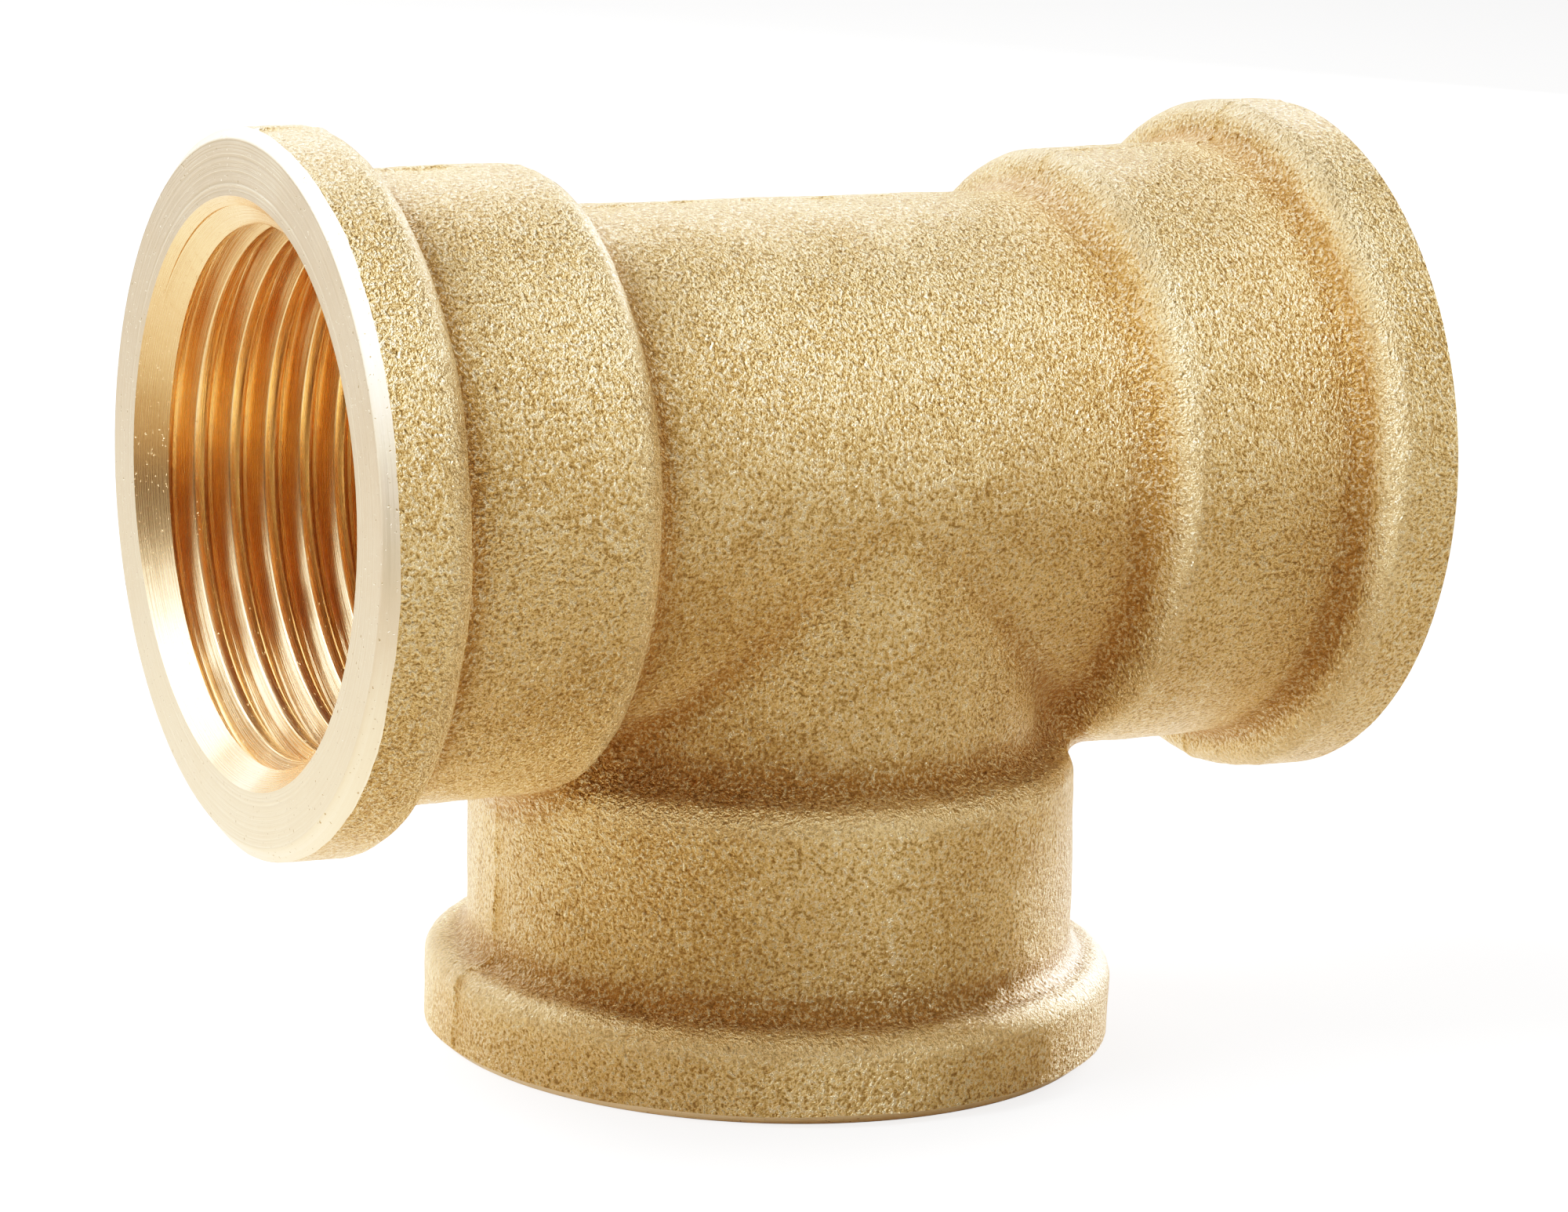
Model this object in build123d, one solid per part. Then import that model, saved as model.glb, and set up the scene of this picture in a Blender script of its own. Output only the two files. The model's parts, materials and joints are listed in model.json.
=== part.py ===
from build123d import *

import os
from math import radians, tan

# An equal tee for 3/4 inch pipe, cast in one piece, with a parallel female pipe thread in each of
# its three mouths. The run lies along X and the branch points down. The origin is the middle of
# the branch's mouth face, so the tee stands on that face.

# Driving dimensions, mm

# One leg, measured from the centre of the tee along the leg's axis
REACH = 28.0              # centre to mouth face, the same on all three legs
CENTRE_RADIUS = 12.7      # the plain casting between the collars
COLLAR_RADIUS = 14.75
COLLAR_LENGTH = 15.0      # mouth face to the collar's inner shoulder
BEAD_RADIUS = 16.8
BEAD_LENGTH = 4.2         # mouth face to the bead's inner shoulder

# Cast rounding and the machined outer edge of each mouth face
BEAD_ROUND = 1.1
BEAD_FILLET = 0.9
BEAD_SLOPE = 0.3          # how far the bead's shoulder leans, along the axis
COLLAR_ROUND = 1.1
COLLAR_FILLET = 1.1
COLLAR_SLOPE = 0.5
EDGE_WIDTH = 0.6          # outer chamfer of the mouth face, across the face
EDGE_DEPTH = 0.5          # and along the axis

# Thread G 3/4: 55 degree Whitworth form, 14 turns to the inch
PITCH = 1.814
THREAD_ANGLE = 55.0
ROOT_RADIUS = 13.22       # bottom of the groove, half the major diameter of 26.44
CREST_RADIUS = 12.3       # tapping drill, inside the minor diameter's tolerance
ROOT_FLAT = 0.30          # width of the groove's bottom
CUTTER_OVERLAP = 0.2      # how far the groove's cutter stands into the open bore
GROOVE_START = 1.95       # depth of the first groove's middle, at the leg's own X side
GROOVE_TURNS = 8
CUTTER_TURN = 37.0        # the cutter's ends lie this far round, degrees, clear of the bore's seam

# Bore
MOUTH_RADIUS = 13.6       # countersink at the mouth face
BORE_DEPTH = 14.0         # mouth face to the end of the tapping drill's wall
WATERWAY_RADIUS = 10.5    # the cored passage through the centre
CONE_LENGTH = 1.2         # from the drilled wall down to the waterway
LINER_RADIUS = 13.7       # the threaded wall is made as a liner of this radius and joined in
PAST_FACE = 3.5           # how far the liner's thread is first cut out past the mouth face

LEGS = {"run_left": (-1, 0, 0), "run_right": (1, 0, 0), "branch": (0, 0, -1)}
LEG_SIDE = {"run_left": (0, 1, 0), "run_right": (0, 1, 0), "branch": (1, 0, 0)}


def turned(points, corner_radii):
    """A solid of revolution about the leg's axis from a half section of (radius, height) points."""
    outline = FilletPolyline(*points, radius=corner_radii, close=True)
    return revolve(Plane.XZ * make_face(outline), Axis.Z)


def leg_outside():
    """Cast outside of one leg: centre, collar and bead, up to the mouth face."""
    collar_end = REACH - COLLAR_LENGTH
    bead_end = REACH - BEAD_LENGTH
    points = [
        (0, 0),
        (CENTRE_RADIUS, 0),
        (CENTRE_RADIUS, collar_end),
        (COLLAR_RADIUS, collar_end + COLLAR_SLOPE),
        (COLLAR_RADIUS, bead_end - BEAD_SLOPE),
        (BEAD_RADIUS, bead_end),
        (BEAD_RADIUS, REACH - EDGE_DEPTH),
        (BEAD_RADIUS - EDGE_WIDTH, REACH),
        (0, REACH),
    ]
    radii = [0, 0, COLLAR_FILLET, COLLAR_ROUND, BEAD_FILLET, BEAD_ROUND, 0, 0, 0]
    return turned(points, radii)


def leg_opening():
    """Cutter for one leg's waterway and for the space that its threaded liner fills."""
    wall_end = REACH - BORE_DEPTH
    points = [
        (0, 0),
        (WATERWAY_RADIUS, 0),
        (WATERWAY_RADIUS, wall_end - CONE_LENGTH),
        (CREST_RADIUS, wall_end),
        (LINER_RADIUS, wall_end),
        (LINER_RADIUS, REACH + PAST_FACE),
        (0, REACH + PAST_FACE),
    ]
    return turned(points, [0] * len(points))


def thread_groove():
    """Cutter for one leg's helical groove, from its deepest turn out past the mouth."""
    flank = tan(radians(THREAD_ANGLE / 2))
    inner = CREST_RADIUS - CUTTER_OVERLAP
    half_root = ROOT_FLAT / 2
    half_inner = half_root + (ROOT_RADIUS - inner) * flank
    deepest = GROOVE_START + (GROOVE_TURNS - 2) * PITCH
    section = Polyline(
        (inner, -half_inner),
        (ROOT_RADIUS, -half_root),
        (ROOT_RADIUS, half_root),
        (inner, half_inner),
        close=True,
    )
    path = Helix(PITCH, GROOVE_TURNS * PITCH, ROOT_RADIUS)
    groove = sweep(Plane.XZ * make_face(section), path=path, is_frenet=True)
    rise = PITCH * CUTTER_TURN / 360
    return Pos(0, 0, REACH - deepest + rise) * Rot(0, 0, CUTTER_TURN) * groove


def mouth_cutter():
    """What the lathe takes off the liner: all that stands past the face, and the countersink."""
    countersink = MOUTH_RADIUS - CREST_RADIUS
    past_liner = LINER_RADIUS + PAST_FACE
    points = [
        (0, REACH - countersink),
        (CREST_RADIUS, REACH - countersink),
        (MOUTH_RADIUS, REACH),
        (past_liner, REACH),
        (past_liner, REACH + 2 * PAST_FACE),
        (0, REACH + 2 * PAST_FACE),
    ]
    return turned(points, [0] * len(points))


def threaded_liner():
    """The wall round one leg's bore, with its helical thread, faced and countersunk."""
    wall_end = REACH - BORE_DEPTH
    points = [
        (CREST_RADIUS, wall_end),
        (LINER_RADIUS, wall_end),
        (LINER_RADIUS, REACH + PAST_FACE),
        (CREST_RADIUS, REACH + PAST_FACE),
    ]
    wall = turned(points, [0] * len(points))
    return wall - thread_groove() - mouth_cutter()


def leg_plane(name):
    """Where a leg stands: its own Z axis runs from the tee's centre out of the mouth."""
    return Plane(origin=(0, 0, REACH), x_dir=LEG_SIDE[name], z_dir=LEGS[name])


def tee_body():
    """The whole casting, bored, countersunk and threaded at its three mouths."""
    planes = [leg_plane(name) for name in LEGS]
    outside = leg_outside()
    opening = leg_opening()
    liner = threaded_liner()
    body = Solid() + [plane * outside for plane in planes]
    body -= [plane * opening for plane in planes]
    body += [plane * liner for plane in planes]
    return body


os.makedirs("parts", exist_ok=True)
body = tee_body()
body.label = "tee_body"
export_step(body, "parts/tee_body.step")
print("tee_body", body.bounding_box(), "volume", round(body.volume), "valid", body.is_valid)
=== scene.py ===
import json
import math

import bmesh
import bpy
import numpy as np
from mathutils import Matrix, Vector


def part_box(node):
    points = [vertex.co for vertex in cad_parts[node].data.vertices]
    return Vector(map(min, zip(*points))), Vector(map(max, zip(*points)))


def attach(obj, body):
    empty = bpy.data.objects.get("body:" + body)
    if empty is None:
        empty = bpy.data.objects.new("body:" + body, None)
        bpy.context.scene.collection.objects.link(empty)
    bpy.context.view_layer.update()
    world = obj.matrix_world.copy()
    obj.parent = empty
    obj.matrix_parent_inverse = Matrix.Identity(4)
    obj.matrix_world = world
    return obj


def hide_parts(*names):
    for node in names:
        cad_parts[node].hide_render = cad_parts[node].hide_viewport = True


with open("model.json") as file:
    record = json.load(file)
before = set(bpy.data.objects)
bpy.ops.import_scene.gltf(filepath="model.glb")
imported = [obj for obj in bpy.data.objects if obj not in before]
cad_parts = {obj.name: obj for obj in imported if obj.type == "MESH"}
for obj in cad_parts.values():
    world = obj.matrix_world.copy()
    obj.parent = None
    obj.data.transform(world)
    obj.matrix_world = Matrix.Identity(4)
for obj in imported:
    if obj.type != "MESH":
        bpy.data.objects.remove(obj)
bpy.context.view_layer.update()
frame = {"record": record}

# ------------------------------------------------------------------------------------------------
# The cast skin. The tee is one brass casting, poured in sand in a two-part mould, then blasted and
# tumbled: three like legs, each a plain centre, a collar and a round bead at the mouth, run into
# one another with cast fillets. The mould's joint leaves a thin raised line all the way round.

MM = 0.001
tee_low, tee_high = [np.array(corner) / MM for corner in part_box("tee_body")]
mounts = {mount["name"]: mount for mount in frame["record"]["mounts"]}

CENTRE = np.array([0.0, 0.0, mounts["run_left_thread"]["pos_m"][2] / MM])
REACH = (tee_high[0] - tee_low[0]) / 2          # from the centre to each mouth's face
BEAD_RADIUS = (tee_high[1] - tee_low[1]) / 2
BEAD_LENGTH = 4.2
COLLAR_RADIUS = 14.75
COLLAR_LENGTH = 15.0
CENTRE_RADIUS = 12.7
BEAD_SLOPE, BEAD_ROUND, BEAD_FILLET = 0.3, 1.1, 0.9
COLLAR_SLOPE, COLLAR_ROUND, COLLAR_FILLET = 0.8, 1.1, 1.5
CORNER_FILLET = 1.3                             # where one leg runs into the next
EASE_START, EASE_END = 0.82, 0.95               # cosine of the turn from the corner, see tee_gap
EDGE_WIDTH, EDGE_DEPTH = 0.6, 0.5               # the turned edge round each mouth's face

# Each leg's own directions: out of its mouth, towards the next leg, and across both
LEGS = {
    "run_left": ((-1, 0, 0), (0, 0, -1), (0, -1, 0)),
    "run_right": ((1, 0, 0), (0, 0, -1), (0, 1, 0)),
    "branch": ((0, 0, -1), (1, 0, 0), (0, -1, 0)),
}
LEGS = {name: np.array(directions, float) for name, directions in LEGS.items()}

# How far each leg's casting sits off the centre of what the lathe turned
OFF_CENTRE = {"run_left": (0, -0.13, -0.07), "run_right": (0, 0.08, 0.1), "branch": (0.1, -0.08, 0)}
OFF_CENTRE_START, OFF_CENTRE_ROOM = 17.0, 6.0   # the shift starts this far out and is full so much later


CLOSER_IN_ROUNDS = 0.55                         # share of the usual step, in rounded stretches


def rounded_outline(corners, radii, step):
    """Points about a step apart on the line through corners, with each corner rounded."""
    path = [np.array(corners[0], float)]
    for before, corner, after, radius in zip(corners, corners[1:], corners[2:], radii):
        corner = np.array(corner, float)
        back = np.array(before, float) - corner
        onward = np.array(after, float) - corner
        back /= np.linalg.norm(back)
        onward /= np.linalg.norm(onward)
        half = math.acos(back @ onward) / 2
        middle = corner + (back + onward) / np.linalg.norm(back + onward) * radius / math.sin(half)
        start = corner + back * radius / math.tan(half) - middle
        end = corner + onward * radius / math.tan(half) - middle
        parts = math.ceil((math.pi - 2 * half) * radius / (CLOSER_IN_ROUNDS * step))
        for share in np.linspace(0, 1, parts + 1):
            spoke = (1 - share) * start + share * end
            path.append(middle + spoke / np.linalg.norm(spoke) * radius)
    path.append(np.array(corners[-1], float))
    filled = [path[0]]
    for point in path[1:]:
        start = filled[-1]
        parts = math.ceil(np.linalg.norm(point - start) / step - 1e-6)
        filled += [start + (point - start) * k / parts for k in range(1, parts + 1)]
    return np.array(filled)


SKIN_STEP = 0.46
collar_end = REACH - COLLAR_LENGTH
bead_end = REACH - BEAD_LENGTH
skin_corners = [
    (0, CENTRE_RADIUS),
    (collar_end, CENTRE_RADIUS),
    (collar_end + COLLAR_SLOPE, COLLAR_RADIUS),
    (bead_end - BEAD_SLOPE, COLLAR_RADIUS),
    (bead_end, BEAD_RADIUS),
    (REACH - EDGE_DEPTH, BEAD_RADIUS),
]
skin_radii = [COLLAR_FILLET, COLLAR_ROUND, BEAD_FILLET, BEAD_ROUND]
skin_line = rounded_outline(skin_corners, skin_radii, SKIN_STEP)

# In the inner corners the collar's shoulder is a long soft ramp
RAMP_START, RAMP_END, RAMP_ROUND = 10.0, 14.5, 3.0
ramp_corners = skin_corners.copy()
ramp_corners[1:3] = [(RAMP_START, CENTRE_RADIUS), (RAMP_END, COLLAR_RADIUS)]
ramp_radii = [RAMP_ROUND, RAMP_ROUND, BEAD_FILLET, BEAD_ROUND]
ramp_line = rounded_outline(ramp_corners, ramp_radii, SKIN_STEP)


def rounded_union(first, second, radius):
    """How far points lie outside two shapes joined with a fillet, from how far outside each."""
    shared = np.hypot(np.maximum(radius - first, 0), np.maximum(radius - second, 0))
    return np.maximum(radius, np.minimum(first, second)) - shared


def tee_gap(points, line, corner_line, fillet):
    """How far points lie outside three legs that have this outline, filleted where they meet.
    In the inner corners between two legs, the outline eases into corner_line."""
    x, y, z = (points - CENTRE).T
    lean, corner_lean = [np.gradient(each[:, 1], each[:, 0]) for each in (line, corner_line)]

    def leg_gap(along, radius, towards_corner):
        share = np.clip((towards_corner - EASE_START) / (EASE_END - EASE_START), 0, 1)
        share = share * share * (3 - 2 * share)
        height = (1 - share) * np.interp(along, line[:, 0], line[:, 1])
        height += share * np.interp(along, corner_line[:, 0], corner_line[:, 1])
        slope = (1 - share) * np.interp(along, line[:, 0], lean)
        slope += share * np.interp(along, corner_line[:, 0], corner_lean)
        return (radius - height) / np.sqrt(1 + slope**2)

    run_radius = np.maximum(np.hypot(y, z), 1e-6)
    branch_radius = np.maximum(np.hypot(x, y), 1e-6)
    run = leg_gap(np.abs(x), run_radius, -z / run_radius)
    branch = leg_gap(np.maximum(-z, 0), branch_radius, np.abs(x) / branch_radius)
    square_on = 1 - np.clip(y**2 / (run_radius * branch_radius), 0, 1)
    return rounded_union(run, np.maximum(branch, z), fillet * square_on)


def skin_gap(points):
    return tee_gap(points, skin_line, ramp_line, CORNER_FILLET)


def outward(points, gap):
    """Directions square to the surface that gap measures from."""
    reach = 0.02
    slopes = [gap(points + reach * axis) - gap(points - reach * axis) for axis in np.eye(3)]
    slopes = np.stack(slopes, axis=-1)
    return slopes / np.linalg.norm(slopes, axis=-1, keepdims=True)


CROWDED_DEGREES = 2.4


def turns_round(count, crowding=0.0):
    """Angles round a leg; crowding packs more of them in beside the mould's joint."""
    fine = np.linspace(0, math.pi / 2, 2001)
    density = 1 + crowding * np.exp(-((np.degrees(fine) / CROWDED_DEGREES) ** 2))
    total = np.concatenate([[0], np.cumsum(density[1:] + density[:-1])])
    quarter = np.interp(np.linspace(0, 1, count // 4 + 1), total / total[-1], fine)
    half = np.concatenate([quarter[:-1], math.pi - quarter[:0:-1]])
    return np.concatenate([half, half + math.pi])


LONGEST_WAY = 6.0
STRIDE = 0.4
HALVINGS = 22


def way_out(start, aim, gap):
    """How many times aim leads from each start, inside the surface, to where it first comes out."""
    outside = np.full(len(start), LONGEST_WAY)
    for step in np.arange(LONGEST_WAY - STRIDE, 0, -STRIDE):
        outside = np.where(gap(start + step * aim) > 0, step, outside)
    inside = outside - STRIDE
    for _ in range(HALVINGS):
        middle = (inside + outside) / 2
        is_out = gap(start + middle[:, None] * aim) > 0
        outside = np.where(is_out, middle, outside)
        inside = np.where(is_out, inside, middle)
    return outside


def leg_surface(name, turns, rings, core_radius, room, inner_end, gap):
    """One leg's surface, rings by turns, from its mouth in to the seam with the other legs."""
    out, corner, side = LEGS[name]
    lengthwise = np.cos(turns)
    meets = np.abs(lengthwise) if name == "branch" else np.maximum(lengthwise, 0)
    ray = lengthwise[:, None] * corner + np.sin(turns)[:, None] * side
    to_seam = meets[:, None] * out + ray
    seam = meets * (core_radius + way_out(CENTRE + core_radius * to_seam, to_seam, gap))
    squeezed = np.maximum(inner_end, seam + room)
    along = np.broadcast_to(rings[:, None], (len(rings), len(turns)))
    along = np.where(along < squeezed, seam + along * (squeezed - seam) / squeezed, along)
    start = CENTRE + along[..., None] * out + core_radius * ray
    aim = np.broadcast_to(ray, start.shape)
    height = way_out(start.reshape(-1, 3), aim.reshape(-1, 3), gap)
    return start + height.reshape(along.shape)[..., None] * aim


def swell(seed, waves, shortest, longest):
    """A smooth random field of unit height, with waves of these lengths."""
    draw = np.random.default_rng(seed)
    heading = draw.normal(size=(waves, 3))
    heading /= np.linalg.norm(heading, axis=1, keepdims=True)
    lengths = shortest * (longest / shortest) ** draw.random(waves)
    numbers = heading * (2 * math.pi / lengths)[:, None]
    phases = draw.random(waves) * 2 * math.pi

    def field(points):
        total = np.zeros(len(points))
        for number, phase in zip(numbers, phases):
            total += np.sin(points @ number + phase)
        return total * math.sqrt(2 / waves)

    return field


pour_swell = swell(seed=3, waves=40, shortest=5.0, longest=14.0)
sand_swell = swell(seed=5, waves=64, shortest=1.0, longest=2.6)
joint_swell = swell(seed=8, waves=30, shortest=1.0, longest=6.0)
POUR_HEIGHT = 0.030
SAND_HEIGHT = 0.009
JOINT_HEIGHT = 0.10
JOINT_WIDTH = 0.17
JOINT_WANDER = 0.08
JOINT_USUAL, JOINT_VARIES = 0.8, 0.4            # shares of the joint's height
JOINT_LEAST, JOINT_MOST = 0.2, 1.4
ELSEWHERE = 50                                  # far enough off for the swell to be unrelated


def cast_skin(name, points):
    """Points of the plain skin, moved as the sand, the mould's joint and the lathe leave them."""
    flat = points.reshape(-1, 3)
    rough = POUR_HEIGHT * pour_swell(flat) + SAND_HEIGHT * sand_swell(flat)
    on_joint = flat * [1, 0, 1]
    middle = JOINT_WANDER * joint_swell(on_joint)
    ridge = JOINT_USUAL + JOINT_VARIES * joint_swell(on_joint + ELSEWHERE)
    height = JOINT_HEIGHT * np.clip(ridge, JOINT_LEAST, JOINT_MOST)
    rough += height * np.exp(-(((flat[:, 1] - middle) / JOINT_WIDTH) ** 2))
    along = (flat - CENTRE) @ LEGS[name][0]
    share = np.clip((along - OFF_CENTRE_START) / OFF_CENTRE_ROOM, 0, 1)[:, None]
    moved = flat + rough[:, None] * outward(flat, skin_gap) + share * OFF_CENTRE[name]
    return moved.reshape(points.shape)


BURIED_REACH = 1.7
BURIED_SPOKES = 42


def buried(points, gap):
    """Share of a small ball about each point that is metal: over a half in hollows, under on edges."""
    spokes = np.arange(BURIED_SPOKES)
    rise = 1 - 2 * (spokes + 0.5) / BURIED_SPOKES
    turn = spokes * math.pi * (3 - math.sqrt(5))
    level = np.sqrt(1 - rise**2)
    ball = np.stack([level * np.cos(turn), level * np.sin(turn), rise], axis=-1)
    flat = points.reshape(-1, 3)
    total = np.zeros(len(flat))
    for spoke in ball:
        total += np.clip(0.5 - gap(flat + BURIED_REACH * spoke) / (0.5 * BURIED_REACH), 0, 1)
    return (total / BURIED_SPOKES).reshape(points.shape[:-1])


TOOL_SLANT = 0.5


def tool_path(name, points):
    """Distance across the marks that a turning tool leaves in a mouth, for each point."""
    out = LEGS[name][0]
    offset = points - CENTRE
    along = offset @ out
    radius = np.linalg.norm(offset - along[..., None] * out, axis=-1)
    return radius - TOOL_SLANT * (REACH - along)


# What has been laid down of the tee's surface so far: points, their marks, and faces by finish
CAST, TURNED, TAPPED, CORED = range(4)
laid_points = []
laid_buried = []
laid_path = []
laid_faces = {CAST: [], TURNED: [], TAPPED: [], CORED: []}


def lay(name, points, depth_in_metal=None):
    """Lays points of one leg down, and returns their numbers in the same arrangement."""
    first = sum(len(block) for block in laid_points)
    laid_points.append(points.reshape(-1, 3))
    half = np.full(points.shape[:-1], 0.5)
    laid_buried.append((half if depth_in_metal is None else depth_in_metal).reshape(-1))
    laid_path.append(tool_path(name, points).reshape(-1))
    return np.arange(half.size).reshape(half.shape) + first


def cover(rings, finish, turn_rows=0):
    """Faces between rings of points; one full turn comes back in turn_rows rings further out."""
    beside = np.roll(rings, -1, axis=1)
    beside[turn_rows:, -1] = rings[: len(rings) - turn_rows, 0]
    quads = np.stack([rings[:-1], rings[1:], beside[1:], beside[:-1]], axis=-1)
    kept = np.ones(quads.shape[:2], bool)
    kept[:turn_rows, -1] = False
    laid_faces[finish].extend(quads[kept].tolist())


def zip_rings(name, outer, inner, finish):
    """Triangles between two rings that have different numbers of points."""
    out, corner, side = LEGS[name]
    every_point = np.concatenate(laid_points)
    full = 2 * math.pi

    def in_order(ring):
        offset = every_point[ring] - CENTRE
        turn = (np.arctan2(offset @ side, offset @ corner) + 1e-5) % full
        order = np.argsort(turn)
        turn = turn[order]
        return np.append(ring[order], ring[order][0]), np.append(turn, turn[0] + full)

    outer, outer_turn = in_order(outer)
    inner, inner_turn = in_order(inner)
    a = b = 0
    while a < len(outer) - 1 or b < len(inner) - 1:
        steps_outer = b == len(inner) - 1
        if not steps_outer and a < len(outer) - 1:
            steps_outer = outer_turn[a + 1] <= inner_turn[b + 1]
        if steps_outer:
            laid_faces[finish].append([int(outer[a]), int(outer[a + 1]), int(inner[b])])
            a += 1
        else:
            laid_faces[finish].append([int(outer[a]), int(inner[b + 1]), int(inner[b])])
            b += 1


SKIN_TURNS, SKIN_CROWDING = 240, 3.0
SKIN_CORE = 12.0                                # the search for the skin starts at this radius
SKIN_ROOM = 4.0                                 # least length of the rings drawn up to the seam
SQUEEZE_END = 12.4                              # rings nearer the centre are drawn up to the seam

skin_edges = {}
skin_turns = turns_round(SKIN_TURNS, SKIN_CROWDING)
skin_rings = skin_line[::-1, 0]
for name in LEGS:
    plain = leg_surface(name, skin_turns, skin_rings, SKIN_CORE, SKIN_ROOM, SQUEEZE_END, skin_gap)
    skin = cast_skin(name, plain)
    # The lathe cuts the skin off along the turned edge, so a bead cast off centre is cut deeper
    out = LEGS[name][0]
    offset = skin[0] - CENTRE
    along = offset @ out
    radius = np.linalg.norm(offset - along[:, None] * out, axis=-1)
    edge_depth = EDGE_DEPTH + (radius - BEAD_RADIUS) * EDGE_DEPTH / EDGE_WIDTH
    skin[0] += (REACH - edge_depth - along)[:, None] * out
    rings = lay(name, skin, buried(plain, skin_gap))
    cover(rings, CAST)
    skin_edges[name] = rings[0]


def feed(tree, node, inputs):
    """Give a node its inputs, each a value or another node's output."""
    for socket, value in inputs.items():
        if isinstance(value, bpy.types.NodeSocket):
            tree.links.new(value, node.inputs[socket])
        else:
            node.inputs[socket].default_value = value


def shader_node(tree, kind, inputs=None, **settings):
    """A new shader node with its settings and inputs."""
    made = tree.nodes.new("ShaderNode" + kind)
    for setting, value in settings.items():
        setattr(made, setting, value)
    feed(tree, made, inputs or {})
    return made


def sums(tree, operation, first, second=0.0, third=0.0):
    """The output of a Math node."""
    return shader_node(tree, "Math", {0: first, 1: second, 2: third}, operation=operation).outputs[0]


def between(tree, value, low, high, bottom=0.0, top=1.0):
    """A value carried from the range low..high to bottom..top, and held there."""
    limits = {"Value": value, 1: low, 2: high, 3: bottom, 4: top}
    return shader_node(tree, "MapRange", limits).outputs["Result"]


def blended(tree, share, first, second, blend_type="MIX"):
    """The output of a Mix node for two colours."""
    mix = shader_node(tree, "Mix", {0: share, 6: first, 7: second}, data_type="RGBA")
    mix.blend_type = blend_type
    return mix.outputs[2]


def noise(tree, place, per_metre, detail=2.0, roughness=0.5):
    """The height output of a noise texture with about this many lumps in a metre."""
    settings = {"Vector": place, "Scale": per_metre, "Detail": detail, "Roughness": roughness}
    return shader_node(tree, "TexNoise", settings).outputs[0]


def new_group(name, values, colours, value_outputs, colour_outputs=(), vector_outputs=()):
    """A shader group with these sockets; returns the group and its two end nodes."""
    group = bpy.data.node_groups.new(name, "ShaderNodeTree")
    sockets = [(socket, "INPUT", "NodeSocketFloat") for socket in values]
    sockets += [(socket, "INPUT", "NodeSocketColor") for socket in colours]
    sockets += [(socket, "OUTPUT", "NodeSocketFloat") for socket in value_outputs]
    sockets += [(socket, "OUTPUT", "NodeSocketColor") for socket in colour_outputs]
    sockets += [(socket, "OUTPUT", "NodeSocketVector") for socket in vector_outputs]
    for socket, direction, kind in sockets:
        group.interface.new_socket(name=socket, in_out=direction, socket_type=kind)
    return group, group.nodes.new("NodeGroupInput").outputs, group.nodes.new("NodeGroupOutput").inputs


def use_group(tree, group, inputs):
    """The outputs of a shader group placed in a material with its own inputs."""
    made = tree.nodes.new("ShaderNodeGroup")
    made.node_tree = group
    feed(tree, made, inputs)
    return made.outputs


# Lumps in a metre
GRAINS, FINE_GRAINS, WRINKLES, PITS = 5400, 14000, 1300, 2600
FINE_SHARE = 0.25
GRAIN_HEIGHT = 0.6 * MM
PIT_RIM, PIT_FLOOR = 0.66, 0.76
PEAK_FOOT, PEAK_TOP = 0.5, 0.64
CREVICE_RIM, CREVICE_FLOOR = 0.49, 0.36


def sand_grain_group():
    """Blasted sand-cast skin: fine grains, shallow wrinkles and the odd pit, as a normal."""
    group, given, result = new_group(
        "Sand grain", ["Grain", "Wrinkle", "Pits"], [], ["Peaks", "Crevices"], [], ["Normal"]
    )
    place = shader_node(group, "TexCoord").outputs["Object"]
    grain = noise(group, place, GRAINS, detail=2.5, roughness=0.62)
    fine = noise(group, place, FINE_GRAINS, detail=1.0)
    wrinkle = noise(group, place, WRINKLES, detail=3.0, roughness=0.55)
    pits = between(group, noise(group, place, PITS, detail=1.0), PIT_RIM, PIT_FLOOR)
    height = sums(group, "MULTIPLY", grain, given["Grain"])
    height = sums(group, "MULTIPLY_ADD", fine, FINE_SHARE, height)
    wrinkled = sums(group, "MULTIPLY", wrinkle, given["Wrinkle"])
    height = sums(group, "ADD", wrinkled, height)
    pitted = sums(group, "MULTIPLY", pits, given["Pits"])
    height = sums(group, "SUBTRACT", height, pitted)
    bump = shader_node(group, "Bump", {"Strength": 1.0, "Distance": GRAIN_HEIGHT, "Height": height})
    group.links.new(bump.outputs["Normal"], result["Normal"])
    group.links.new(between(group, grain, PEAK_FOOT, PEAK_TOP), result["Peaks"])
    group.links.new(between(group, grain, CREVICE_RIM, CREVICE_FLOOR), result["Crevices"])
    return group


# Shares of metal round a point, from where a hollow or an edge begins to where it is full
HOLLOW_FROM, HOLLOW_FULL = 0.502, 0.60
EDGE_FROM, EDGE_FULL = 0.46, 0.36
CLOUDS, SPECKS = 160, 1900                      # in a metre
SPECK_SHARE = 0.45


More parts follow.
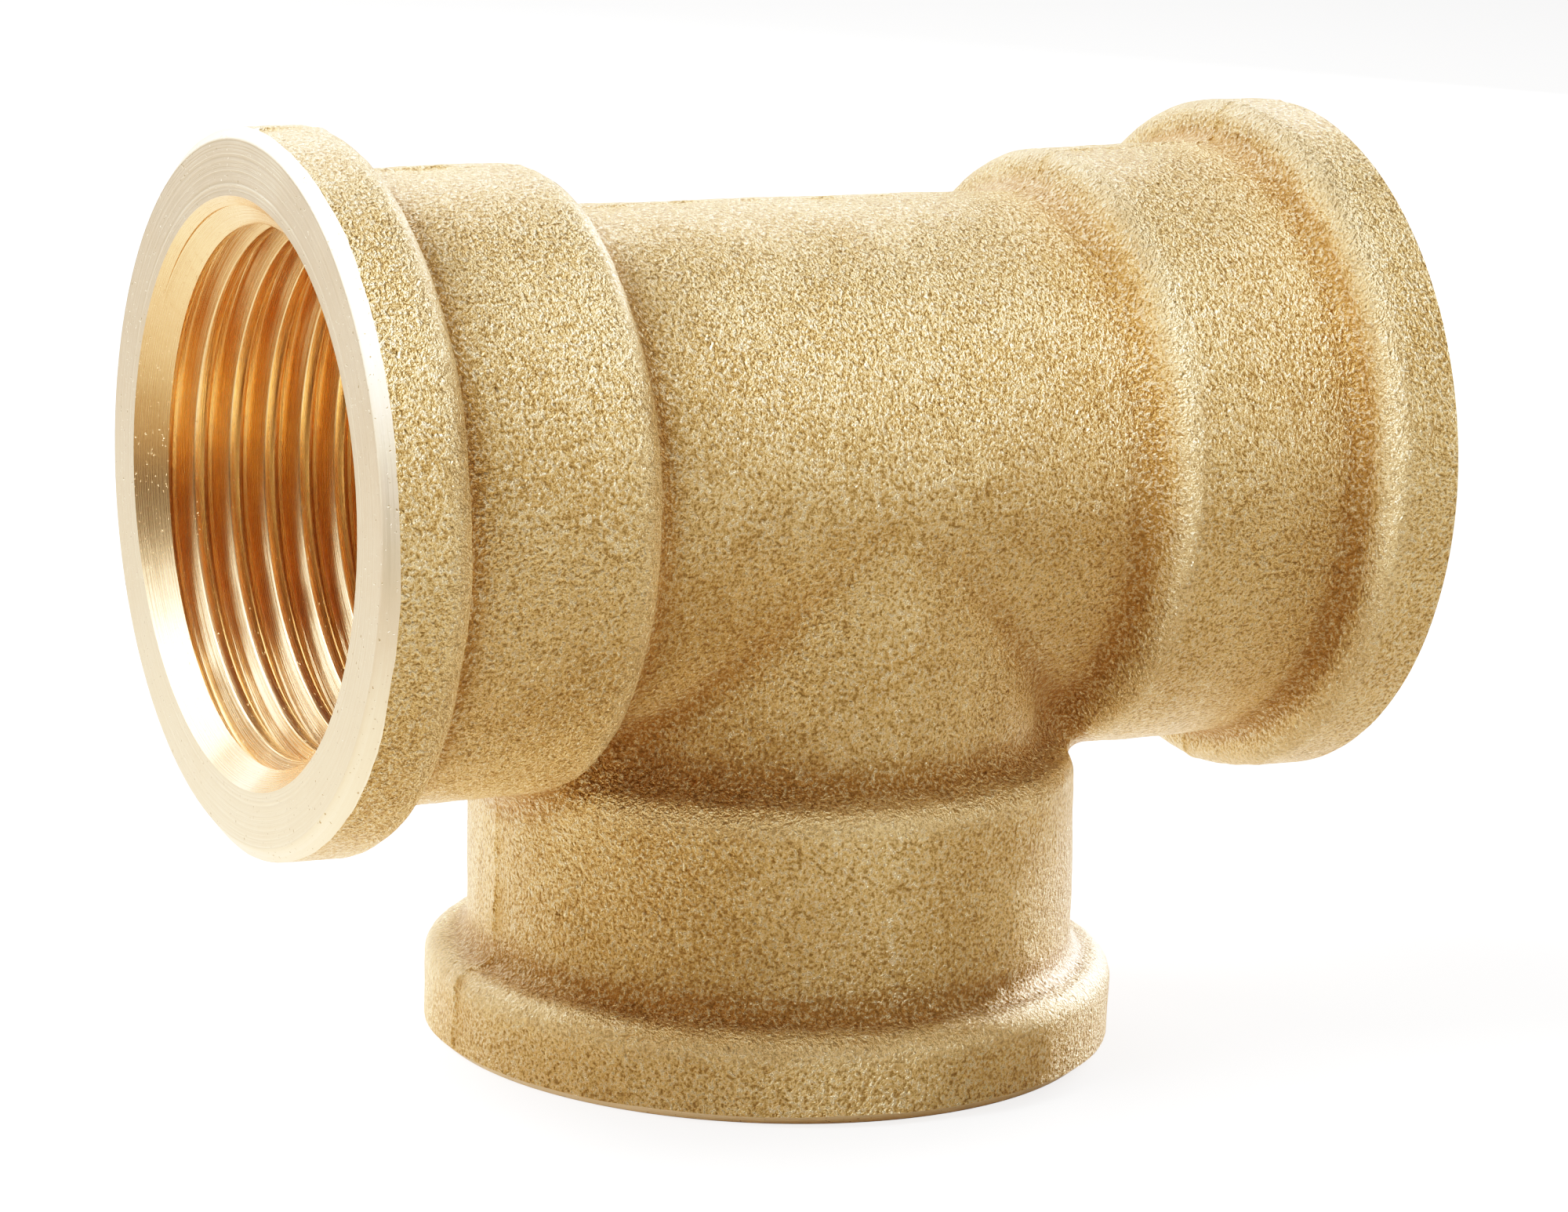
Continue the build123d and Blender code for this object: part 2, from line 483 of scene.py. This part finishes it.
def brass_colour_group():
    """Brass that has greyed a little: clean on edges, browner in the hollows."""
    group, given, result = new_group(
        "Brass colour", ["Mottling"], ["Clean", "Dull", "Brown"], ["Edge"], ["Colour"]
    )
    place = shader_node(group, "TexCoord").outputs["Object"]
    metal = shader_node(group, "Attribute", attribute_name="buried").outputs["Fac"]
    hollow = between(group, metal, HOLLOW_FROM, HOLLOW_FULL)
    edge = between(group, metal, EDGE_FROM, EDGE_FULL)
    cloud = between(group, noise(group, place, CLOUDS, detail=4.0, roughness=0.6), 0.4, 0.62)
    speck = between(group, noise(group, place, SPECKS, detail=2.0), 0.45, 0.7)
    mottled = sums(group, "MULTIPLY_ADD", speck, SPECK_SHARE, cloud)
    dulled = sums(group, "MULTIPLY", mottled, given["Mottling"])
    colour = blended(group, dulled, given["Clean"], given["Dull"])
    colour = blended(group, hollow, colour, given["Brown"])
    group.links.new(colour, result["Colour"])
    group.links.new(edge, result["Edge"])
    return group


sand_grain = sand_grain_group()
brass_colour = brass_colour_group()


def join_finish(tree, colour, roughness, normal):
    """Joins a brass finish's colour, roughness and normal to its one Principled BSDF."""
    shader = tree.nodes["Principled BSDF"]
    shader.inputs["Metallic"].default_value = 1.0
    tree.links.new(colour, shader.inputs["Base Color"])
    tree.links.new(roughness, shader.inputs["Roughness"])
    tree.links.new(normal, shader.inputs["Normal"])


def finish_tree(name):
    """A new material for a finish, and its node tree."""
    material = bpy.data.materials.new(name)
    material.use_nodes = True
    return material, material.node_tree


EDGE_WEAR = 0.2
# Painted shade: the grain's crevices are coloured brown
CREVICE_SHADE_SHARE = 0.92
CREVICE_SHADE_BROWN = (0.31, 0.165, 0.045, 1)
# Worn edges and the grain's peaks are painted pale: the polish of wear and tumbling, and a painted
# highlight on the peaks
PEAK_POLISH_AND_GLINT = 0.8
WORN_AND_GLINT_PALE = (0.99, 0.82, 0.50, 1)


def cast_finish():
    material, tree = finish_tree("Cast brass skin")
    colour = use_group(tree, brass_colour, {
        "Mottling": 0.85,
        "Clean": (0.89, 0.575, 0.225, 1),
        "Dull": (0.67, 0.39, 0.125, 1),
        "Brown": (0.50, 0.25, 0.065, 1),
    })
    worn = sums(tree, "MULTIPLY", colour["Edge"], EDGE_WEAR)
    depth = sums(tree, "SUBTRACT", 1.0, worn)
    grain = use_group(tree, sand_grain, {"Grain": depth, "Wrinkle": 0.25, "Pits": 0.8})
    # The grain's crevices are painted brown as painted shade
    crevices = sums(tree, "MULTIPLY", grain["Crevices"], depth)
    crevice_shade = sums(tree, "MULTIPLY", crevices, CREVICE_SHADE_SHARE)
    # Pale peaks and edges: real polish of wear and tumbling, and a painted highlight on the grain's
    # peaks
    peaks = sums(tree, "MULTIPLY", grain["Peaks"], PEAK_POLISH_AND_GLINT)
    wear_polish_and_glint = sums(tree, "MAXIMUM", peaks, worn)
    shaded = blended(tree, crevice_shade, colour["Colour"], CREVICE_SHADE_BROWN)
    bright = blended(tree, wear_polish_and_glint, shaded, WORN_AND_GLINT_PALE)
    rough = between(tree, grain["Peaks"], 0.0, 1.0, 0.38, 0.24)
    join_finish(tree, bright, rough, grain["Normal"])
    return material


cast_material = cast_finish()

# ------------------------------------------------------------------------------------------------
# The turned mouths. Each mouth is faced flat in the lathe and its outer edge is taken off at an
# angle, which leaves bare metal with fine rings, and here and there an open pore of the casting.

BORE_TURNS = 144
MOUTH_RADIUS = 13.6
FACE_RADIUS = BEAD_RADIUS - EDGE_WIDTH
FACE_MIDDLE = 14.9
EDGE_BREAK = 0.07
BREAK_DEPTH, BREAK_WIDTH = 0.012, 0.01          # the middle of the broken edge, from the sharp one

bore_turns = turns_round(BORE_TURNS)


def mouth_point_ring(name, depth, radius, turns=bore_turns):
    """A ring of points in a mouth, at a depth below its face and a radius."""
    out, corner, side = LEGS[name]
    ray = np.cos(turns)[..., None] * corner + np.sin(turns)[..., None] * side
    depth, radius = np.asarray(depth, float), np.asarray(radius, float)
    return CENTRE + (REACH - depth)[..., None] * out + radius[..., None] * ray


face_profile = [
    (EDGE_BREAK * EDGE_DEPTH / EDGE_WIDTH, FACE_RADIUS + EDGE_BREAK),
    (BREAK_DEPTH, FACE_RADIUS + BREAK_WIDTH),
    (0, FACE_RADIUS - EDGE_BREAK),
    (0, FACE_MIDDLE),
    (0, MOUTH_RADIUS),
]
for name in LEGS:
    face = np.stack([mouth_point_ring(name, depth, radius) for depth, radius in face_profile])
    rings = lay(name, face)
    zip_rings(name, skin_edges[name], rings[0], TURNED)
    cover(rings, TURNED)


CHATTER, PORES, SCRATCHES = 220, 4600, 5200     # in a metre
PORE_RIM, PORE_FLOOR = 0.67, 0.71
SCRATCH_SHARE = 0.12
MARK_HEIGHT = 0.03 * MM


def tool_marks_group():
    """Fine rings from a tool's point, with depth that comes and goes, as a normal."""
    group, given, result = new_group(
        "Tool marks", ["Depth", "Per mm", "Pores"], [], ["Ring", "Pits"], [], ["Normal"]
    )
    place = shader_node(group, "TexCoord").outputs["Object"]
    path = shader_node(group, "Attribute", attribute_name="tool_path").outputs["Fac"]
    across = sums(group, "MULTIPLY", path, given["Per mm"])
    settings = {"W": across, "Scale": 1.0, "Detail": 3.0}
    ring = shader_node(group, "TexNoise", settings, noise_dimensions="1D")
    uneven = between(group, noise(group, place, CHATTER, detail=2.0), 0.35, 0.65, 0.35, 1.0)
    pore_noise = noise(group, place, PORES, detail=2.0, roughness=0.6)
    pores = between(group, pore_noise, PORE_RIM, PORE_FLOOR)
    scratches = noise(group, place, SCRATCHES, detail=2.0)
    rings = sums(group, "MULTIPLY", ring.outputs[0], uneven)
    height = sums(group, "MULTIPLY", rings, given["Depth"])
    height = sums(group, "MULTIPLY_ADD", scratches, SCRATCH_SHARE, height)
    pored = sums(group, "MULTIPLY", pores, given["Pores"])
    height = sums(group, "SUBTRACT", height, pored)
    bump = shader_node(group, "Bump", {"Strength": 1.0, "Distance": MARK_HEIGHT, "Height": height})
    group.links.new(bump.outputs["Normal"], result["Normal"])
    group.links.new(ring.outputs[0], result["Ring"])
    group.links.new(pores, result["Pits"])
    return group


tool_marks = tool_marks_group()


# Painted shade: the tool's rings are coloured this darker brass in their grooves
RING_SHADE = (0.70, 0.52, 0.30, 1)
RING_SHARE = 0.3
PORE_BROWN = (0.34, 0.22, 0.10, 1)


def turned_finish():
    material, tree = finish_tree("Turned brass")
    colour = use_group(tree, brass_colour, {
        "Mottling": 0.25,
        "Clean": (0.92, 0.78, 0.56, 1),
        "Dull": (0.80, 0.62, 0.39, 1),
        "Brown": (0.60, 0.42, 0.20, 1),
    })
    marks = use_group(tree, tool_marks, {"Depth": 1.6, "Per mm": 7.0, "Pores": 2.0})
    # The tool's rings are painted darker as painted shade in their grooves
    ring_shade_share = between(tree, marks["Ring"], 0.35, 0.65, 0.0, RING_SHARE)
    ringed = blended(tree, ring_shade_share, colour["Colour"], RING_SHADE)
    pitted = blended(tree, marks["Pits"], ringed, PORE_BROWN)
    rough = between(tree, marks["Ring"], 0.3, 0.7, 0.42, 0.56)
    join_finish(tree, pitted, rough, marks["Normal"])
    return material


turned_material = turned_finish()

# ------------------------------------------------------------------------------------------------
# The threads. Each mouth is drilled, countersunk and tapped with a right-hand parallel pipe
# thread, 14 turns to the inch, with the tap's rounded roots and a crest broken by the tap's edge.

PITCH = 1.814
FLANK = math.radians(27.5)
ROOT_RADIUS = 13.22
CREST_RADIUS = 12.3
ROOT_ROUND = 0.249
CREST_BREAK = 0.05
FIRST_GROOVE = 1.95               # depth of the first groove's middle, on the start side
RUN_OUT_START, RUN_OUT_END = 11.2, 12.9
THREAD_END = 13.2
SPARE_GROOVES = 2                 # past each end, for the countersink and the thread's end to cut
ROOT_POINTS = 4

# The side of each mouth from which its turns are counted
START_SIDE = {"run_left": (0, 1, 0), "run_right": (0, 1, 0), "branch": (1, 0, 0)}


def groove_profile():
    """(distance from the groove's middle, radius) of one turn of the thread."""
    root_turn = math.pi / 2 - FLANK
    profile = [
        (ROOT_ROUND * math.sin(a), ROOT_RADIUS - ROOT_ROUND * (1 - math.cos(a)))
        for a in np.linspace(-root_turn, root_turn, ROOT_POINTS)
    ]
    corner = profile[-1][0] + (profile[-1][1] - CREST_RADIUS) * math.tan(FLANK)
    lip = (corner - CREST_BREAK * math.sin(FLANK), CREST_RADIUS + CREST_BREAK * math.cos(FLANK))
    land = (corner + CREST_BREAK, CREST_RADIUS)
    return [(-land[0], land[1]), (-lip[0], lip[1]), *profile, lip, land]


def countersunk(depths, radii):
    """Rows of the thread where the countersink has cut them back to its cone."""
    past_cone = radii - (MOUTH_RADIUS - depths)
    cut = past_cone < 0
    cone_depths = np.maximum(depths, 0)
    new_depths = np.where(cut, cone_depths, depths)
    new_radii = np.where(cut, MOUTH_RADIUS - cone_depths, radii)
    # The last cut point beside an uncut one sits where the cone and the thread really cross
    share = past_cone[:-1] / (past_cone[:-1] - past_cone[1:] + 1e-12)
    crossing = depths[:-1] + share * (depths[1:] - depths[:-1])
    into_thread = cut[:-1] & ~cut[1:]
    into_cone = ~cut[:-1] & cut[1:]
    new_depths[:-1][into_thread] = crossing[into_thread]
    new_radii[:-1][into_thread] = MOUTH_RADIUS - crossing[into_thread]
    new_depths[1:][into_cone] = crossing[into_cone]
    new_radii[1:][into_cone] = MOUTH_RADIUS - crossing[into_cone]
    return new_depths, new_radii


def thread_surface(name):
    """The tapped wall of one mouth: rows that follow the thread, by turns round the bore."""
    out, corner, side = LEGS[name]
    start_side = np.array(START_SIDE[name], float)
    first_turn = math.atan2(start_side @ side, start_side @ corner)
    profile = groove_profile()
    grooves = range(-SPARE_GROOVES, math.ceil(THREAD_END / PITCH) + SPARE_GROOVES)
    middles = [FIRST_GROOVE + k * PITCH for k in grooves]
    rows = [(middle + offset, radius) for middle in middles for offset, radius in profile]
    depths, radii = [np.repeat(column[:, None], BORE_TURNS, axis=1) for column in np.array(rows).T]
    rise = np.arange(BORE_TURNS) / BORE_TURNS
    depths -= PITCH * rise
    run_out = np.clip((RUN_OUT_END - depths) / (RUN_OUT_END - RUN_OUT_START), 0, 1)
    radii = CREST_RADIUS + (radii - CREST_RADIUS) * run_out
    depths, radii = countersunk(depths, radii)
    radii = np.where(depths > THREAD_END, CREST_RADIUS, radii)
    depths = np.minimum(depths, THREAD_END)
    return mouth_point_ring(name, depths, radii, first_turn + 2 * math.pi * rise), len(profile)


bore_ends = {}
BORE_DEPTH = 14.0
for name in LEGS:
    surface, turn_rows = thread_surface(name)
    cover(lay(name, surface), TAPPED, turn_rows)
    wall = [mouth_point_ring(name, depth, CREST_RADIUS) for depth in (THREAD_END, BORE_DEPTH)]
    rings = lay(name, np.stack(wall))
    cover(rings, TAPPED)
    bore_ends[name] = rings[-1]


def tapped_finish():
    material, tree = finish_tree("Tapped brass")
    # The tapped wall gets a darker, oranger brass than the turned face: painted shade inside the bore
    colour = use_group(tree, brass_colour, {
        "Mottling": 0.3,
        "Clean": (0.88, 0.56, 0.27, 1),
        "Dull": (0.62, 0.34, 0.14, 1),
        "Brown": (0.60, 0.42, 0.20, 1),
    })
    marks = use_group(tree, tool_marks, {"Depth": 0.45, "Per mm": 22.0, "Pores": 0.6})
    rough = between(tree, marks["Ring"], 0.3, 0.7, 0.2, 0.32)
    join_finish(tree, colour["Colour"], rough, marks["Normal"])
    return material


tapped_material = tapped_finish()

# ------------------------------------------------------------------------------------------------
# The waterway. A sand core leaves the passage through the middle, so its wall is as rough as the
# outside but browner. A cone from the drill's point joins it to each bore.

WATERWAY_RADIUS = 10.5
CONE_LENGTH = 1.2
CORE_FILLET = 0.8
CORE_HEIGHT = 0.03
CORE_SAND = 0.5                                 # the fine sand's share of that height
CORE_TURNS, CORE_RINGS = 96, 14
CORE_START, CORE_ROOM = 10.0, 1.5               # as SKIN_CORE and SKIN_ROOM

waterway_end = REACH - BORE_DEPTH - CONE_LENGTH
core_line = np.array([(0, WATERWAY_RADIUS), (REACH, WATERWAY_RADIUS)])


def core_gap(points):
    return tee_gap(points, core_line, core_line, CORE_FILLET)


core_turns = turns_round(CORE_TURNS)
core_rings = np.linspace(waterway_end, 0, CORE_RINGS)
for name in LEGS:
    plain = leg_surface(name, core_turns, core_rings, CORE_START, CORE_ROOM, SQUEEZE_END, core_gap)
    flat = plain.reshape(-1, 3)
    rough = pour_swell(flat) + CORE_SAND * sand_swell(flat)
    wall = flat + CORE_HEIGHT * rough[:, None] * outward(flat, core_gap)
    rings = lay(name, wall.reshape(plain.shape))
    cover(rings, CORED)
    zip_rings(name, bore_ends[name], rings[0], TAPPED)


def cored_finish():
    material, tree = finish_tree("Cored brass")
    colour = use_group(tree, brass_colour, {
        "Mottling": 0.8,
        "Clean": (0.68, 0.50, 0.26, 1),
        "Dull": (0.50, 0.34, 0.16, 1),
        "Brown": (0.40, 0.24, 0.09, 1),
    })
    grain = use_group(tree, sand_grain, {"Grain": 1.2, "Wrinkle": 1.5, "Pits": 1.2})
    rough = between(tree, grain["Peaks"], 0.0, 1.0, 0.6, 0.45)
    join_finish(tree, colour["Colour"], rough, grain["Normal"])
    return material


cored_material = cored_finish()

# ------------------------------------------------------------------------------------------------
# The tee put together: one closed surface, with each stretch of it in its own finish.

SAME_PLACE = 1e-7
SHARP = math.radians(36)


def tee_mesh():
    mesh = bpy.data.meshes.new("tee_casting")
    faces = [face for finish in laid_faces for face in laid_faces[finish]]
    mesh.from_pydata((np.concatenate(laid_points) * MM).tolist(), [], faces)
    finishes = [finish for finish in laid_faces for _ in laid_faces[finish]]
    mesh.polygons.foreach_set("material_index", finishes)
    for name, values in (("buried", laid_buried), ("tool_path", laid_path)):
        marks = mesh.attributes.new(name, "FLOAT", "POINT")
        marks.data.foreach_set("value", np.concatenate(values).astype(np.float32))
    joined = bmesh.new()
    joined.from_mesh(mesh)
    bmesh.ops.remove_doubles(joined, verts=joined.verts, dist=SAME_PLACE)
    bmesh.ops.recalc_face_normals(joined, faces=joined.faces)
    joined.to_mesh(mesh)
    joined.free()
    mesh.shade_smooth()
    mesh.set_sharp_from_angle(angle=SHARP)
    return mesh


tee = bpy.data.objects.new("tee_casting", tee_mesh())
bpy.context.scene.collection.objects.link(tee)
for material in (cast_material, turned_material, tapped_material, cored_material):
    tee.data.materials.append(material)
even_shading = tee.modifiers.new("Even shading", "WEIGHTED_NORMAL")
even_shading.keep_sharp = True
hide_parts("tee_body")
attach(tee, "root")

# ------------------------------------------------------------------------------------------------
# The floor, the light and the camera.

FLOOR_RADIUS = 3.0
FLOOR_SEEN = (0.97, 0.97, 0.96, 1)
FLOOR_GLOW = 1.4
# Painted shade and painted light on the floor, which only the tee sees:
FLOOR_PAINTED_DIM = (0.14, 0.085, 0.035, 1)             # the light thrown from in front and from the left
FLOOR_PAINTED_BRIGHT = (1.0, 0.88, 0.70, 1)             # and from behind, to the right
DIM_Y, BRIGHT_Y = -0.13, -0.05
DIM_X, BRIGHT_X = -0.09, -0.01


def floor_disc():
    mesh = bpy.data.meshes.new("floor")
    disc = bmesh.new()
    bmesh.ops.create_circle(disc, cap_ends=True, radius=FLOOR_RADIUS, segments=96)
    disc.to_mesh(mesh)
    disc.free()
    return mesh


floor = bpy.data.objects.new("floor", floor_disc())
bpy.context.scene.collection.objects.link(floor)
floor_material = bpy.data.materials.new("Pale floor")
floor_material.use_nodes = True
floor_tree = floor_material.node_tree
floor_shader = floor_tree.nodes["Principled BSDF"]
floor_shader.inputs["Roughness"].default_value = 0.9
floor_shader.inputs["Emission Color"].default_value = (1, 1, 1, 1)
# The floor looks pale all over to the camera, but the colour it shows the tee is painted: painted shade
# in front and to the left, where it throws little light on the tee, and painted light behind to the
# right
floor_place = shader_node(floor_tree, "TexCoord").outputs["Object"]
floor_sides = shader_node(floor_tree, "SeparateXYZ", {0: floor_place}).outputs
near_back = between(floor_tree, floor_sides["Y"], DIM_Y, BRIGHT_Y)
near_right = between(floor_tree, floor_sides["X"], DIM_X, BRIGHT_X)
lit = sums(floor_tree, "MULTIPLY", near_back, near_right)
thrown = blended(floor_tree, lit, FLOOR_PAINTED_DIM, FLOOR_PAINTED_BRIGHT)
seen = shader_node(floor_tree, "LightPath").outputs["Is Camera Ray"]
pale = blended(floor_tree, seen, thrown, FLOOR_SEEN)
glow = sums(floor_tree, "MULTIPLY", seen, FLOOR_GLOW)
floor_tree.links.new(pale, floor_shader.inputs["Base Color"])
floor_tree.links.new(glow, floor_shader.inputs["Emission Strength"])
floor.data.materials.append(floor_material)


# Straight ahead of the tee, level: the studio is dimmer there
FRONT = (0.0, -1.0, 0.0)
AIR_BEHIND = (0.46, 0.42, 0.36, 1)
AIR_AHEAD = (0.05, 0.034, 0.014, 1)
AIR_OVERHEAD = (0.56, 0.56, 0.56, 1)
AIR_SEEN = (2.2, 2.2, 2.2, 1)


def studio_air():
    """Soft light from all round, seen as white: grey overhead, warm behind, dim in front."""
    world = bpy.data.worlds.new("Studio")
    world.use_nodes = True
    tree = world.node_tree
    heading = shader_node(tree, "TexCoord").outputs["Generated"]
    up = shader_node(tree, "SeparateXYZ", {0: heading}).outputs["Z"]
    facing = shader_node(tree, "VectorMath", {0: heading, 1: FRONT}, operation="DOT_PRODUCT")
    ahead = between(tree, facing.outputs["Value"], -0.3, 0.6)
    sides = blended(tree, ahead, AIR_BEHIND, AIR_AHEAD)
    overhead = between(tree, up, 0.25, 0.95)
    thrown = blended(tree, overhead, sides, AIR_OVERHEAD)
    seen = shader_node(tree, "LightPath").outputs["Is Camera Ray"]
    colour = blended(tree, seen, thrown, AIR_SEEN)
    tree.links.new(colour, tree.nodes["Background"].inputs["Color"])
    bpy.context.scene.world = world


def softbox(name, place, width, height, power, aim=(0.0, 0.0, 0.03)):
    """A soft rectangular lamp of this power in watts, turned to face the tee or another aim."""
    lamp = bpy.data.lights.new(name, "AREA")
    lamp.shape = "RECTANGLE"
    lamp.size, lamp.size_y = width, height
    lamp.energy = power
    made = bpy.data.objects.new(name, lamp)
    made.location = place
    made.visible_camera = False
    made.rotation_mode = "QUATERNION"
    made.rotation_quaternion = (Vector(aim) - Vector(place)).to_track_quat("-Z", "Y")
    bpy.context.scene.collection.objects.link(made)


studio_air()
softbox("overhead", (-0.10, 0.05, 0.17), 0.14, 0.14, 1.35)
softbox("behind", (0.0, 0.46, 0.24), 0.40, 0.20, 1.6)
softbox("left", (-0.32, 0.03, 0.20), 0.16, 0.16, 0.85)
softbox("right", (0.36, 0.24, 0.04), 0.20, 0.25, 4.2)
# A white card on the floor in front lights the undersides
softbox("card", (0.01, -0.055, 0.001), 0.15, 0.05, 0.028, aim=(0.01, -0.055, 0.1))

VIEW_AZIMUTH = math.radians(28.256)
VIEW_ELEVATION = math.radians(12.284)
VIEW_ROLL = math.radians(2.213)
VIEW_DISTANCE = 244.7
VIEW_AIM = np.array([0.33, 0, -7.1])            # from the tee's centre
LENS = 116.06

level = math.cos(VIEW_ELEVATION)
back = Vector((
    -math.sin(VIEW_AZIMUTH) * level,
    -math.cos(VIEW_AZIMUTH) * level,
    math.sin(VIEW_ELEVATION),
))
right = Vector((math.cos(VIEW_AZIMUTH), -math.sin(VIEW_AZIMUTH), 0))
up = back.cross(right)
rolled_right = right * math.cos(VIEW_ROLL) + up * math.sin(VIEW_ROLL)
rolled_up = up * math.cos(VIEW_ROLL) - right * math.sin(VIEW_ROLL)
camera = bpy.data.objects.new("camera", bpy.data.cameras.new("camera"))
camera.data.lens = LENS
camera.data.clip_start = 0.01
turn = Matrix((rolled_right, rolled_up, back)).transposed().to_4x4()
place = Vector((CENTRE + VIEW_AIM) * MM) + back * VIEW_DISTANCE * MM
camera.matrix_world = Matrix.Translation(place) @ turn
bpy.context.scene.collection.objects.link(camera)
bpy.context.scene.camera = camera

# Bright light is pressed together towards white, as a camera does it
FILM = [(0.0, 0.0), (0.18, 0.43), (0.33, 0.63), (0.55, 0.82), (1.0, 1.0)]
BRIGHTEST = 2.6
view = bpy.context.scene.view_settings
view.view_transform = "Standard"
view.use_curve_mapping = True
view.curve_mapping.white_level = (BRIGHTEST, BRIGHTEST, BRIGHTEST)
film = view.curve_mapping.curves[3]
film.points[0].location, film.points[1].location = FILM[0], FILM[-1]
for bright, shown in FILM[1:-1]:
    film.points.new(bright, shown)
view.curve_mapping.update()
